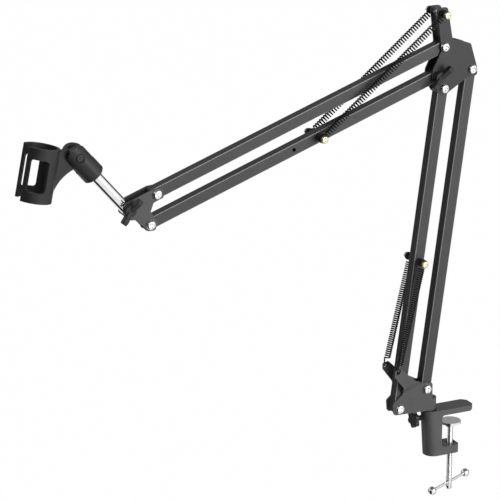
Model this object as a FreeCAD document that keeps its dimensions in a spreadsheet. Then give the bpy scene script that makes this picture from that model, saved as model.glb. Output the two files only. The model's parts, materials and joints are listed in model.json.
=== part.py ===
import FreeCAD, Part
import math
import os
import Sketcher

# A desk-clamped, spring-balanced boom arm for a microphone, in millimetres and degrees.
# +X runs to the right in the plane of the arm, +Y away from the viewer, +Z up. The origin is on the
# clamp screw's axis, level with the underside of the clamp's top plate, where the desk top lies.
doc = FreeCAD.newDocument("boom_arm")
sizes = doc.addObject("Spreadsheet::Sheet", "sizes")
table = (
    # desk clamp
    ("clamp_width", 22),
    ("clamp_top", 6.2),
    ("clamp_reach", 23.8),
    ("clamp_opening", 37.3),
    ("clamp_corner", 3),
    ("clamp_end_cut", 5),
    ("column_outer", 8.4),
    ("column_inner", 11.8),
    ("column_taper", 4),
    ("column_round", 10.8),
    ("jaw_thickness", 9.2),
    ("jaw_reach", 6.8),
    ("jaw_round", 6),
    ("recess_diameter", 10.4),
    ("recess_depth", 2.5),
    ("socket_depth", 22),
    # clamp screw with its disc and sliding handle
    ("screw_diameter", 6.4),
    ("screw_drop", 93),
    ("tip_diameter", 5),
    ("disc_gap", 11.7),
    ("disc_diameter", 23),
    ("disc_thickness", 2.6),
    ("hub_diameter", 10),
    ("hub_height", 4),
    ("handle_drop", 85),
    ("handle_diameter", 3),
    ("handle_length", 64.5),
    ("handle_angle", 26),
    ("ball_diameter", 9.5),
    ("ball_sink", 4),
    # lock screw and its lobed knob
    ("lock_drop", 2.5),
    ("lock_diameter", 6),
    ("lock_gap", 7.2),
    ("lock_knob_sink", 3.4),
    ("lock_knob_depth", 5),
    ("valley_diameter", 16),
    ("lobe_diameter", 6.4),
    ("lobe_circle", 13.6),
    ("lobe_count", 6),
    ("lock_knob_edge", 0.9),
    # swivelling base
    ("swivel_offset", 28.5),
    ("swivel_washer", 1.6),
    ("washer_diameter", 18),
    ("pin_diameter", 9),
    ("nose_height", 13.1),
    ("base_pivot_reach", 7.12),
    ("base_pivot_height", 33.52),
    ("hook_run", 40.08),
    ("hook_rise", 25.88),
    ("hook_hole", 3.2),
    # arm bars and the linkage they make
    ("bar_size", 12),
    ("bar_wall", 1.2),
    ("bar_corner", 0.8),
    ("bar_end_reach", 6.5),
    ("bar_end_cut", 2.5),
    ("lower_length", 353.9),
    ("lower_lean", 7.35),
    ("lower_link_run", 33.36),
    ("lower_link_drop", 17.79),
    ("upper_length", 348.1),
    ("upper_rise", 20.03),
    ("upper_link_run", 7.34),
    ("upper_link_drop", 30.81),
    ("spare_hole_place", 171.05),
    ("cable_hole_place", 183.5),
    ("cable_hole", 4),
    # bent sheet plates
    ("sheet_thickness", 2),
    ("side_gap", 0.3),
    ("plate_ear", 7.2),
    ("plate_corner", 3),
    ("head_corner", 2.4),
    ("elbow_run", 33.92),
    ("elbow_rise", 26.56),
    ("elbow_tab_run", 3.73),
    ("elbow_tab_rise", 35.2),
    ("head_reach", 31.22),
    ("head_drop", 12.31),
    # pivot bolts
    ("fit_gap", 0.05),
    ("pivot_diameter", 5),
    ("pivot_head", 10.4),
    ("pivot_head_height", 3.4),
    ("pivot_head_round", 3),
    ("pivot_nut", 8),
    ("pivot_nut_height", 4),
    ("thread_end", 1),
    # balance springs and their bolts
    ("spring_line", 13.5),
    ("spring_radius", 2.9),
    ("wire_diameter", 1.4),
    ("loop_radius", 4),
    ("loop_reach", 6.4),
    ("upper_spring_turns", 20),
    ("lower_spring_turns", 15),
    ("lower_spring_place", 165.3),
    ("upper_spring_place", 201.45),
    ("spring_bolt", 4),
    ("spring_head", 7.6),
    ("spring_head_height", 2.6),
    ("spring_head_round", 1.4),
    ("spring_nut", 7),
    ("spring_nut_height", 3.2),
    ("spool_flange", 8.6),
    ("spool_neck", 5.8),
    ("spool_neck_width", 5.4),
    ("spool_rim", 1.6),
    ("spacer_diameter", 8),
    # wing knobs
    ("knob_washer", 0.6),
    ("knob_washer_diameter", 13),
    ("knob_hub", 13),
    ("knob_hub_height", 7),
    ("wing_depth", 12.1),
    ("wing_root", 2),
    ("wing_lift", 5.6),
    ("wing_length", 30),
    ("wing_crest", 5),
    ("wing_thickness", 5.4),
    ("wing_corner", 2),
    ("wing_edge", 0.8),
    ("elbow_wing_angle", 46),
    ("head_wing_angle", 49.5),
    ("knob_bolt_sink", 5),
    # swivel tube and clip
    ("tube_diameter", 12),
    ("tube_bore", 8),
    ("tube_floor", 14),
    ("tube_angle", 49.4),
    ("tube_reach", 78.1),
    ("insert_length", 13.3),
    ("barrel_diameter", 23.4),
    ("barrel_drop", 28.6),
    ("barrel_edge", 1.5),
    ("fork_depth", 13.5),
    ("fork_width", 8.2),
    ("ear_thickness", 7.6),
    ("ear_diameter", 19),
    ("clip_bolt", 4),
    ("clip_bolt_head", 9),
    ("clip_bolt_head_height", 2.8),
    ("clip_seat_depth", 3.1),
    ("clip_nut", 7),
    ("clip_nut_height", 2.6),
    ("clip_diameter", 36.8),
    ("clip_wall", 3),
    ("clip_length", 54.2),
    ("clip_lean", 11.6),
    ("clip_pin_run", 37.3),
    ("clip_pin_rise", 20.7),
    ("clip_twist", 5),
    ("mouth_angle", 60),
    ("window_angle", 63),
    ("window_place", 75.85),
    ("window_top", 15.9),
    ("window_bottom", 16.4),
    ("window_corner", 3),
    ("web_top", 23.4),
    ("web_bottom", 17),
    ("web_arc_run", 59.1),
    ("web_arc_drop", 27.4),
    ("web_arc_radius", 42.3),
    # how far a cutting tool runs past the face it enters
    ("overrun", 1),
    # how far apart two measures may lie and still count as one
    ("match", 0.0001),
)
for row, (name, value) in enumerate(table, start=1):
    sizes.set("A%d" % row, name)
    sizes.set("B%d" % row, str(value))
    sizes.setAlias("B%d" % row, name)
doc.recompute()

right = FreeCAD.Vector(1, 0, 0)
away = FreeCAD.Vector(0, 1, 0)
up = FreeCAD.Vector(0, 0, 1)
level = FreeCAD.Rotation()
to_rear = FreeCAD.Rotation(up, away)
to_front = FreeCAD.Rotation(up, -away)


def spot(x, y, z):
    return FreeCAD.Vector(x, y, z)


def placed(point, rotation=level):
    return FreeCAD.Placement(point, rotation)


def tilted(degrees):
    return FreeCAD.Rotation(away, degrees)


def sketch_on(body, name, role):
    sketch = body.newObject("Sketcher::SketchObject", name)
    plane = [feature for feature in body.Origin.OriginFeatures if feature.Role == role][0]
    sketch.AttachmentSupport = (plane, [""])
    sketch.MapMode = "FlatFace"
    return sketch


def bind(sketch, kind, geometry, point, start, expression):
    index = sketch.addConstraint(Sketcher.Constraint(kind, -1, 1, geometry, point, start))
    sketch.setExpression("Constraints[%d]" % index, expression)


def draw_outline(sketch, corners):
    # Each corner is a pair of expressions, so the outline follows the sheet.
    count = len(corners)
    turns = [math.tau * index / count for index in range(count)]
    starts = [spot(math.cos(turn), math.sin(turn), 0) for turn in turns]
    for index in range(count):
        sketch.addGeometry(Part.LineSegment(starts[index], starts[(index + 1) % count]), False)
    for index in range(count):
        sketch.addConstraint(Sketcher.Constraint("Coincident", index, 2, (index + 1) % count, 1))
    for index, (across, rise) in enumerate(corners):
        bind(sketch, "DistanceX", index, 1, starts[index].x, across)
        bind(sketch, "DistanceY", index, 1, starts[index].y, rise)
    doc.recompute()


def draw_circle(sketch, across, rise, diameter):
    index = sketch.addGeometry(Part.Circle(spot(0, 0, 0), up, 1), False)
    bind(sketch, "DistanceX", index, 3, 0, across)
    bind(sketch, "DistanceY", index, 3, 0, rise)
    constraint = sketch.addConstraint(Sketcher.Constraint("Diameter", index, 1))
    sketch.setExpression("Constraints[%d]" % constraint, diameter)


def pad(body, sketch, length, both_ways=True):
    feature = body.newObject("PartDesign::Pad", sketch.Name + "_pad")
    feature.Profile = sketch
    feature.setExpression("Length", length)
    feature.Midplane = both_ways
    doc.recompute()
    return feature


def through_cut(body, sketch):
    feature = body.newObject("PartDesign::Pocket", sketch.Name + "_cut")
    feature.Profile = sketch
    feature.Type = "ThroughAll"
    feature.Midplane = True
    doc.recompute()
    return feature


def dress(body, kind, feature, size, wanted):
    names = ["Edge%d" % index for index, edge in enumerate(feature.Shape.Edges, start=1) if wanted(edge)]
    dressed = body.newObject("PartDesign::" + kind, body.Name + "_" + kind.lower())
    dressed.Base = (feature, names)
    dressed.setExpression("Radius" if kind == "Fillet" else "Size", size)
    doc.recompute()
    return dressed


def runs_along(edge, direction):
    run = edge.Vertexes[-1].Point - edge.Vertexes[0].Point
    return run.Length > 0 and run.cross(direction).Length < sizes.match * run.Length


def near(first, second):
    return abs(first - second) < sizes.match


def prism(name, corners, thickness, corner_size, sharp=(), holes=()):
    # A flat piece centred on the arm's plane; the corners numbered in sharp stay square.
    body = doc.addObject("PartDesign::Body", name)
    sketch = sketch_on(body, name + "_outline", "XZ_Plane")
    draw_outline(sketch, corners)
    feature = pad(body, sketch, thickness)
    points = [sketch.getPoint(index, 1) for index in range(len(corners)) if index not in sharp]

    def at_corner(edge):
        place = edge.Vertexes[0].Point
        return runs_along(edge, away) and any(near(place.x, p.x) and near(place.z, p.y) for p in points)

    if points:
        feature = dress(body, "Fillet", feature, corner_size, at_corner)
    if holes:
        drill = sketch_on(body, name + "_holes", "XZ_Plane")
        for across, rise, diameter in holes:
            draw_circle(drill, across, rise, diameter)
        through_cut(body, drill)
    return body


def spun(name, corners, placement, sweep="360"):
    # A turned piece: the outline's first value is the radius, its second the height along local Z. A sweep
    # short of a full turn is shared evenly to both sides of local X.
    body = doc.addObject("PartDesign::Body", name)
    sketch = sketch_on(body, name + "_half", "XZ_Plane")
    draw_outline(sketch, corners)
    feature = body.newObject("PartDesign::Revolution", name + "_turned")
    feature.Profile = sketch
    feature.ReferenceAxis = (sketch, ["V_Axis"])
    feature.Midplane = True
    feature.setExpression("Angle", sweep)
    doc.recompute()
    body.Placement = placement
    return body


def rod(name, diameter, height, placement):
    piece = doc.addObject("Part::Cylinder", name)
    piece.setExpression("Radius", "(%s) / 2" % diameter)
    piece.setExpression("Height", height)
    piece.Placement = placement
    return piece


def block(name, length, width, height, placement):
    piece = doc.addObject("Part::Box", name)
    piece.setExpression("Length", length)
    piece.setExpression("Width", width)
    piece.setExpression("Height", height)
    piece.Placement = placement
    return piece


def joined(name, pieces):
    piece = doc.addObject("Part::MultiFuse", name)
    piece.Shapes = pieces
    piece.Refine = True
    doc.recompute()
    return piece


def cut(name, base, tool):
    piece = doc.addObject("Part::Cut", name)
    piece.Base = base
    piece.Tool = tool
    doc.recompute()
    return piece


def common(name, base, tool):
    piece = doc.addObject("Part::Common", name)
    piece.Base = base
    piece.Tool = tool
    doc.recompute()
    return piece


def gathered(name, pieces):
    piece = doc.addObject("Part::Compound", name)
    piece.Links = pieces
    doc.recompute()
    return piece


# A crossed recess in a bolt's head: its length, width and depth as shares of the head's size.
recess_shares = (0.56, 0.15, 0.5)


def bolt(name, kind, length, placement, recessed=True):
    # Local Z runs down the shank from the underside of the rounded head.
    shank = "sizes.%s / 2" % kind[0]
    head = "sizes.%s / 2" % kind[1]
    height = "-sizes.%s" % kind[2]
    corners = (("0", height), (head, height), (head, "0"), (shank, "0"), (shank, length), ("0", length))
    body = spun(name + "_turning", corners, level_placement)
    crown = body.Shape.BoundBox.ZMin
    dress(body, "Fillet", body.Tip, "sizes." + kind[3], lambda edge: edge.BoundBox.ZMax < crown + sizes.match
          and edge.Closed)
    body.Placement = placement
    if not recessed:
        return gathered(name, [body])
    long_share, wide_share, deep_share = recess_shares
    head_size = getattr(sizes, kind[1])
    corner = spot(-head_size * long_share / 2, -head_size * wide_share / 2, crown)
    slots = []
    for index, heading in enumerate((right, away)):
        turned = placement.multiply(placed(spot(0, 0, 0), FreeCAD.Rotation(right, heading)))
        slots.append(block("%s_slot_%d" % (name, index), "%s * sizes.%s" % (long_share, kind[1]),
                           "%s * sizes.%s" % (wide_share, kind[1]), "%s * sizes.%s" % (deep_share, kind[2]),
                           placed(turned.multVec(corner), turned.Rotation)))
    return cut(name, body, joined(name + "_recess", slots))


def nut(name, across_flats, height, hole, placement):
    hexagon = doc.addObject("Part::Prism", name + "_hexagon")
    hexagon.Polygon = 6
    hexagon.setExpression("Circumradius", across_flats + " / sqrt(3)")
    hexagon.setExpression("Height", height)
    hexagon.Placement = placement
    start = placement.multVec(spot(0, 0, -sizes.overrun))
    reach = height + " + 2 * sizes.overrun"
    bore = rod(name + "_bore", hole + " + 2 * sizes.fit_gap", reach, placed(start, placement.Rotation))
    return cut(name, hexagon, bore)


level_placement = placed(spot(0, 0, 0))
pivot_kind = ("pivot_diameter", "pivot_head", "pivot_head_height", "pivot_head_round")
spring_kind = ("spring_bolt", "spring_head", "spring_head_height", "spring_head_round")
clip_kind = ("clip_bolt", "clip_bolt_head", "clip_bolt_head_height", "spring_head_round")
pivot_hole = "sizes.pivot_diameter + 2 * sizes.fit_gap"
spring_hole = "sizes.spring_bolt + 2 * sizes.fit_gap"

# Pivots of the two parallel linkages. The swivel pin stands behind the clamp screw; the base, elbow and
# head links stay parallel to themselves while the bars lean.
lean = math.radians(sizes.lower_lean)
rise = math.radians(sizes.upper_rise)
lower_run = spot(math.sin(lean), 0, math.cos(lean)) * sizes.lower_length
upper_run = spot(math.cos(rise), 0, math.sin(rise)) * sizes.upper_length
lower_link = spot(-sizes.lower_link_run, 0, -sizes.lower_link_drop)
upper_link = spot(-sizes.upper_link_run, 0, -sizes.upper_link_drop)
swivel = spot(-sizes.swivel_offset, 0, 0)
base_right = spot(-sizes.swivel_offset - sizes.base_pivot_reach, 0, sizes.base_pivot_height)
base_left = base_right + lower_link
elbow_right = base_right + lower_run
elbow_left = elbow_right + lower_link
elbow_top = elbow_right + spot(-sizes.elbow_run, 0, sizes.elbow_rise)
elbow_hinge = elbow_top + upper_link
elbow_tab = elbow_top + spot(-sizes.elbow_tab_run, 0, sizes.elbow_tab_rise)
head_top = elbow_top - upper_run
head_bottom = head_top + upper_link
head_hinge = head_top + spot(-sizes.head_reach, 0, -sizes.head_drop)
hook = base_right + spot(-sizes.hook_run, 0, sizes.hook_rise)
lower_spring_end = base_left + lower_run * (sizes.lower_spring_place / sizes.lower_length)
upper_spring_end = head_bottom + upper_run * (sizes.upper_spring_place / sizes.upper_length)
inside = sizes.bar_size / 2 + sizes.side_gap
plate_middle = inside + sizes.sheet_thickness / 2
plate_face = inside + sizes.sheet_thickness
pivot_span = "sizes.bar_size + 2 * sizes.side_gap + 2 * sizes.sheet_thickness"
pivot_shank = pivot_span + " + sizes.pivot_nut_height + sizes.thread_end"


def front_at(point, depth):
    return spot(point.x, -depth, point.z)


def pivot_bolts(name, points):
    bolts = []
    for index, point in enumerate(points, start=1):
        place = placed(front_at(point, plate_face), to_rear)
        bolts.append(bolt("%s_%d" % (name, index), pivot_kind, pivot_shank, place))
    return gathered(name, bolts)


def pivot_nuts(name, points):
    nuts = []
    for index, point in enumerate(points, start=1):
        place = placed(front_at(point, -plate_face), to_rear)
        nuts.append(nut("%s_%d" % (name, index), "sizes.pivot_nut", "sizes.pivot_nut_height",
                        "sizes.pivot_diameter", place))
    return gathered(name, nuts)


# Desk clamp: one C-shaped casting. The column carries the swivel socket, the lower jaw the screw.
column_left = "-sizes.swivel_offset - sizes.column_outer"
column_right = "-sizes.swivel_offset + sizes.column_inner"
jaw_bottom = "-sizes.clamp_opening - sizes.jaw_thickness"
clamp_corners = (
    (column_left, "sizes.clamp_top"),
    ("sizes.clamp_reach", "sizes.clamp_top"),
    ("sizes.clamp_reach", "0"),
    (column_right, "0"),
    (column_right, "-sizes.clamp_opening"),
    ("sizes.jaw_reach", "-sizes.clamp_opening"),
    ("sizes.jaw_reach", jaw_bottom),
    (column_left + " + sizes.column_taper", jaw_bottom),
)
casting = doc.addObject("PartDesign::Body", "clamp_casting")
casting_sketch = sketch_on(casting, "clamp_outline", "XZ_Plane")
draw_outline(casting_sketch, clamp_corners)
feature = pad(casting, casting_sketch, "sizes.clamp_width")
inner_x = sizes.column_inner - sizes.swivel_offset
feature = dress(casting, "Fillet", feature, "sizes.clamp_corner",
                lambda edge: runs_along(edge, away) and near(edge.Vertexes[0].X, inner_x))
feature = dress(casting, "Fillet", feature, "sizes.jaw_round",
                lambda edge: runs_along(edge, up) and near(edge.Vertexes[0].X, sizes.jaw_reach))
feature = dress(casting, "Chamfer", feature, "sizes.clamp_end_cut",
                lambda edge: runs_along(edge, up) and near(edge.Vertexes[0].X, sizes.clamp_reach))
left_x = sizes.column_taper - sizes.column_outer - sizes.swivel_offset
feature = dress(casting, "Fillet", feature, "sizes.column_round",
                lambda edge: (edge.BoundBox.XMax < left_x + sizes.match
                              and edge.BoundBox.ZLength > sizes.clamp_opening))
jaw_low = -sizes.clamp_opening - sizes.jaw_thickness
socket = rod("socket_bore", "sizes.pin_diameter + 2 * sizes.fit_gap", "sizes.socket_depth + sizes.overrun",
             placed(swivel + up * (sizes.clamp_top - sizes.socket_depth)))
jaw_bore = rod("jaw_bore", "sizes.screw_diameter + 2 * sizes.fit_gap",
               "sizes.jaw_thickness + 2 * sizes.overrun",
               placed(up * (jaw_low - sizes.overrun)))
recess = rod("jaw_recess", "sizes.recess_diameter", "sizes.recess_depth + sizes.overrun",
             placed(up * (-sizes.clamp_opening - sizes.recess_depth)))
lock_bore = rod("lock_bore", "sizes.lock_diameter + 2 * sizes.fit_gap", "sizes.column_outer + sizes.overrun",
                placed(swivel - up * sizes.lock_drop, FreeCAD.Rotation(up, -right)))
clamp_tools = joined("clamp_tools", [socket, jaw_bore, recess, lock_bore])
clamp_body = cut("clamp_body", casting, clamp_tools)

# Pressure disc, riding on the screw's turned-down tip.
disc_under = "-sizes.disc_thickness"
hub_under = "-sizes.disc_thickness - sizes.hub_height"
tip_bore = "sizes.tip_diameter / 2 + sizes.fit_gap"
pressure_disc = spun("pressure_disc", (
    ("0", "0"), ("sizes.disc_diameter / 2", "0"), ("sizes.disc_diameter / 2", disc_under),
    ("sizes.hub_diameter / 2", disc_under), ("sizes.hub_diameter / 2", hub_under),
    (tip_bore, hub_under), (tip_bore, disc_under), ("0", disc_under)), placed(up * -sizes.disc_gap))

# Clamp screw, cross-drilled near its lower end for the sliding handle.
tip_top = "-sizes.disc_gap - sizes.disc_thickness - sizes.fit_gap"
tip_root = "-sizes.disc_gap - sizes.disc_thickness - sizes.hub_height - sizes.fit_gap"
screw_blank = spun("screw_blank", (
    ("0", tip_top), ("sizes.tip_diameter / 2", tip_top), ("sizes.tip_diameter / 2", tip_root),
    ("sizes.screw_diameter / 2", tip_root), ("sizes.screw_diameter / 2", "-sizes.screw_drop"),
    ("0", "-sizes.screw_drop")), level_placement)
heading = math.radians(sizes.handle_angle)
handle_way = right * math.cos(heading) + away * math.sin(heading)
handle_turn = FreeCAD.Rotation(up, handle_way)
handle_middle = up * -sizes.handle_drop
handle_bore = rod("handle_bore", "sizes.handle_diameter + 2 * sizes.fit_gap", "2 * sizes.screw_diameter",
                  placed(handle_middle - handle_way * sizes.screw_diameter, handle_turn))
clamp_screw = cut("clamp_screw", screw_blank, handle_bore)
handle_start = handle_middle - handle_way * (sizes.handle_length / 2)
handle_end = handle_middle + handle_way * (sizes.handle_length / 2)
tommy_bar = rod("tommy_bar", "sizes.handle_diameter", "sizes.handle_length",
                placed(handle_start, handle_turn))
balls = []
for side, point, outward in (("left", handle_start, -1), ("right", handle_end, 1)):
    ball = doc.addObject("Part::Sphere", "ball_%s_blank" % side)
    ball.setExpression("Radius", "sizes.ball_diameter / 2")
    ball.Placement = placed(point + handle_way * (outward * (sizes.ball_diameter / 2 - sizes.ball_sink)))
    mouth = point - handle_way * (outward * sizes.ball_diameter)
    socket_turn = handle_turn if outward > 0 else FreeCAD.Rotation(up, -handle_way)
    ball_bore = rod("ball_%s_bore" % side, "sizes.handle_diameter + 2 * sizes.fit_gap", "sizes.ball_diameter",
                    placed(mouth, socket_turn))
    balls.append(cut("ball_%s" % side, ball, ball_bore))
tommy_balls = gathered("tommy_balls", balls)

# Lock screw through the column's side, with a lobed knob, to hold the swivel pin.
lock_height = swivel - up * sizes.lock_drop
lock_turn = FreeCAD.Rotation(up, -right)
lock_start = lock_height - right * (sizes.pin_diameter / 2 + sizes.side_gap)
knob_start = lock_height - right * (sizes.column_outer + sizes.lock_gap)
lock_outside = "sizes.column_outer + sizes.lock_gap + sizes.lock_knob_sink"
lock_length = lock_outside + " - sizes.pin_diameter / 2 - sizes.side_gap"
lock_screw = rod("lock_screw", "sizes.lock_diameter", lock_length, placed(lock_start, lock_turn))
star = doc.addObject("PartDesign::Body", "lock_knob_star")
core_sketch = sketch_on(star, "lock_knob_core", "XY_Plane")
draw_circle(core_sketch, "0", "0", "sizes.valley_diameter")
pad(star, core_sketch, "sizes.lock_knob_depth", False)
lobe_sketch = sketch_on(star, "lock_knob_lobe", "XY_Plane")
draw_circle(lobe_sketch, "sizes.lobe_circle / 2", "0", "sizes.lobe_diameter")
lobe = pad(star, lobe_sketch, "sizes.lock_knob_depth", False)
lobes = star.newObject("PartDesign::PolarPattern", "lock_knob_lobes")
lobes.Originals = [lobe]
lobes.Axis = (core_sketch, ["N_Axis"])
lobes.Angle = 360
lobes.setExpression("Occurrences", "sizes.lobe_count")
star.Tip = lobes
doc.recompute()
dress(star, "Fillet", lobes, "sizes.lock_knob_edge", lambda edge: edge.BoundBox.ZLength < sizes.match)
star.Placement = placed(knob_start, lock_turn)
lock_knob_mouth = knob_start + right * sizes.overrun
lock_knob_bore = rod("lock_knob_bore", "sizes.lock_diameter + 2 * sizes.fit_gap",
                     "sizes.lock_knob_sink + sizes.overrun", placed(lock_knob_mouth, lock_turn))
lock_knob = cut("lock_knob", star, lock_knob_bore)

# Swivel washer and the stepped pin that drops into the column's socket.
washer_top = "sizes.clamp_top + sizes.swivel_washer"
swivel_washer = spun("swivel_washer", (
    ("sizes.pin_diameter / 2 + sizes.fit_gap", "sizes.clamp_top"),
    ("sizes.washer_diameter / 2", "sizes.clamp_top"), ("sizes.washer_diameter / 2", washer_top),
    ("sizes.pin_diameter / 2 + sizes.fit_gap", washer_top)), placed(swivel))
collar = "sizes.bar_size / 2 + sizes.side_gap - sizes.fit_gap"
pin_foot = "sizes.clamp_top - sizes.socket_depth + sizes.overrun"
pin_head = washer_top + " + sizes.nose_height"
base_pin = spun("base_pin", (
    ("0", pin_foot), ("sizes.pin_diameter / 2", pin_foot), ("sizes.pin_diameter / 2", washer_top),
    (collar, washer_top), (collar, pin_head), ("0", pin_head)), placed(swivel))

# Base bracket: one sheet strip bent round the pin into two side plates. A band of each plate joggles
# outward to a tab that holds a balance spring's hook.
base_centres = {
    "right": ("0", "0"),
    "left": ("-sizes.lower_link_run", "-sizes.lower_link_drop"),
    "hook": ("-sizes.hook_run", "sizes.hook_rise"),
}


def ear_corners(centres, shares):
    corners = []
    for across_centre, across_share, rise_centre, rise_share in shares:
        across = "%s + (%s) * sizes.plate_ear" % (centres[across_centre][0], across_share)
        corners.append((across, "%s + (%s) * sizes.plate_ear" % (centres[rise_centre][1], rise_share)))
    return corners


band_shares = (
    ("left", 0.43, "left", 2.26),
    ("right", -0.75, "right", 1.1),
    ("left", 0.2, "hook", -2.55),
    ("left", 1.85, "hook", -1.5),
)
side_shares = (
    ("right", 0.95, "right", 0.9),
    ("right", -0.75, "right", 1.1),
    ("left", 0.43, "left", 2.26),
    ("left", -1.15, "left", 0.9),
    ("left", -1, "left", -0.9),
)
tab_shares = (
    ("left", 0.2, "hook", -2.55),
    ("left", 1.85, "hook", -1.5),
    ("hook", 0.5, "hook", 0.7),
    ("hook", -0.45, "hook", 0.45),
    ("hook", -0.45, "hook", -0.45),
)
nose_low = "sizes.clamp_top + sizes.swivel_washer - sizes.base_pivot_height"
nose_high = nose_low + " + sizes.nose_height"
side_corners = [("sizes.base_pivot_reach", nose_low), ("sizes.base_pivot_reach", nose_high)]
side_corners += ear_corners(base_centres, side_shares)
tab_corners = ear_corners(base_centres, tab_shares)
band_corners = ear_corners(base_centres, band_shares)
side_holes = [base_centres["right"] + (pivot_hole,), base_centres["left"] + (pivot_hole,)]
tab_holes = [base_centres["hook"] + ("sizes.hook_hole",)]


def band_section(name, corners, outward, depth):
    # A sheet-thick rectangle along one fold line, at the given depth from the arm's plane.
    (start_across, start_rise), (end_across, end_rise) = corners
    section = doc.addObject("Sketcher::SketchObject", name)
    fold = doc.addObject("Sketcher::SketchObject", name + "_fold")
    fold.addGeometry(Part.LineSegment(spot(0, 0, 0), right), False)
    bind(fold, "DistanceX", 0, 1, 0, start_across)
    bind(fold, "DistanceY", 0, 1, 0, start_rise)
    bind(fold, "DistanceX", 0, 2, 1, end_across)
    bind(fold, "DistanceY", 0, 2, 1, end_rise)
    doc.recompute()
    start, end = fold.getPoint(0, 1), fold.getPoint(0, 2)
    run = spot(end.x - start.x, 0, end.y - start.y)
    length = "sqrt(((%s) - (%s)) ^ 2 + ((%s) - (%s)) ^ 2)" % (end_across, start_across, end_rise, start_rise)
    outer = depth + " + sizes.sheet_thickness"
    draw_outline(section, (("0", depth), (length, depth), (length, outer), ("0", outer)))
    way = run.normalize()
    out = away * outward
    section.Placement = placed(base_right + spot(start.x, 0, start.y),
                               FreeCAD.Rotation(way, out, way.cross(out), "XYZ"))
    return section


tab_depth = "sizes.spring_line - sizes.sheet_thickness / 2"
side_depth = "sizes.bar_size / 2 + sizes.side_gap"
bracket_pieces = []
for side, outward in (("front", -1), ("rear", 1)):
    side_plate = prism("base_side_" + side, side_corners, "sizes.sheet_thickness", "sizes.plate_corner",
                       (0, 1, 3, 4), side_holes)
    side_plate.Placement = placed(base_right + away * (outward * plate_middle))
    tab_plate = prism("base_tab_" + side, tab_corners, "sizes.sheet_thickness", "sizes.plate_corner / 2",
                      (0, 1), tab_holes)
    tab_plate.Placement = placed(base_right + away * (outward * sizes.spring_line))
    band = doc.addObject("Part::Loft", "base_band_" + side)
    band.Sections = [band_section("band_root_" + side, band_corners[:2], outward, side_depth),
                     band_section("band_tip_" + side, band_corners[2:], outward, tab_depth)]
    band.Solid = True
    band.Ruled = True
    bracket_pieces += [side_plate, tab_plate, band]
nose_foot = swivel + up * (sizes.clamp_top + sizes.swivel_washer)
nose_turn = FreeCAD.Rotation(away * -1, right, up, "XYZ")
nose_solid = rod("nose_solid", pivot_span, "sizes.nose_height", placed(nose_foot, nose_turn))
nose_solid.Angle = 180
nose_bore = rod("nose_bore", "sizes.bar_size + 2 * sizes.side_gap", "sizes.nose_height + 2 * sizes.overrun",
                placed(nose_foot - up * sizes.overrun))
bracket_pieces.append(cut("base_nose", nose_solid, nose_bore))
base_bracket = joined("base_bracket", bracket_pieces)
base_bolts = pivot_bolts("base_bolts", (base_right, base_left))
base_nuts = pivot_nuts("base_nuts", (base_right, base_left))


# Arm bars: square tube, cut back at both ends, drilled for the pivots and the spring bolts.
def bar(name, length, holes, placement):
    body = doc.addObject("PartDesign::Body", name)
    low = "-sizes.bar_size / 2"
    high = "sizes.bar_size / 2"
    far = length + " + sizes.bar_end_reach"
    side = sketch_on(body, name + "_side", "XZ_Plane")
    near_end = "-sizes.bar_end_reach"
    draw_outline(side, ((near_end, low), (far, low), (far, high), (near_end, high)))
    feature = pad(body, side, "sizes.bar_size")
    feature = dress(body, "Chamfer", feature, "sizes.bar_end_cut", lambda edge: runs_along(edge, away))
    feature = dress(body, "Fillet", feature, "sizes.bar_corner", lambda edge: runs_along(edge, right))
    bore = sketch_on(body, name + "_hollow", "YZ_Plane")
    inner_low = low + " + sizes.bar_wall"
    inner_high = high + " - sizes.bar_wall"
    draw_outline(bore, ((inner_low, inner_low), (inner_high, inner_low),
                        (inner_high, inner_high), (inner_low, inner_high)))
    through_cut(body, bore)
    drill = sketch_on(body, name + "_holes", "XZ_Plane")
    for place, diameter in (("0", pivot_hole), (length, pivot_hole)) + holes:
        draw_circle(drill, place, "0", diameter)
    through_cut(body, drill)
    body.Placement = placement
    return body


stand = tilted(sizes.lower_lean - 90)
slope = tilted(-sizes.upper_rise)
lower_right_bar = bar("lower_right_bar", "sizes.lower_length", (), placed(base_right, stand))
lower_left_bar = bar("lower_left_bar", "sizes.lower_length", (("sizes.lower_spring_place", spring_hole),),
                     placed(base_left, stand))
upper_bottom_bar = bar("upper_bottom_bar", "sizes.upper_length",
                       (("sizes.upper_spring_place", spring_hole), ("sizes.spare_hole_place", spring_hole)),
                       placed(head_bottom, slope))
top_blank = bar("upper_top_blank", "sizes.upper_length", (), placed(head_top, slope))
cable_spot = placed(head_top, slope).multVec(spot(sizes.cable_hole_place, 0, 0))
cable_bore = rod("cable_bore", "sizes.cable_hole", "sizes.bar_size", placed(cable_spot, slope))
upper_top_bar = cut("upper_top_bar", top_blank, cable_bore)

# Elbow: two plates that tie the bars together, with a tab above them for the upper springs.
elbow_centres = {
    "right": ("0", "0"),
    "left": ("-sizes.lower_link_run", "-sizes.lower_link_drop"),
    "top": ("-sizes.elbow_run", "sizes.elbow_rise"),
    "hinge": ("-sizes.elbow_run - sizes.upper_link_run", "sizes.elbow_rise - sizes.upper_link_drop"),
    "tab": ("-sizes.elbow_run - sizes.elbow_tab_run", "sizes.elbow_rise + sizes.elbow_tab_rise"),
}
elbow_shares = (
    ("tab", -0.85, "tab", 0.9),
    ("tab", 0.85, "tab", 0.9),
    ("top", 1.3, "top", 0.88),
    ("right", -1.85, "top", 0.66),
    ("right", -0.35, "top", 0.15),
    ("right", 0.78, "right", 0.3),
    ("right", 0.88, "right", -1),
    ("right", -0.6, "right", -1.05),
    ("left", 0.75, "left", -0.55),
    ("left", 0.2, "left", -1),
    ("left", -1, "left", -0.55),
    ("hinge", -1.05, "hinge", -0.5),
    ("hinge", -0.9, "hinge", 0.9),
    ("top", -0.55, "top", -0.55),
    ("top", -0.65, "top", 0.4),
)
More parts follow.
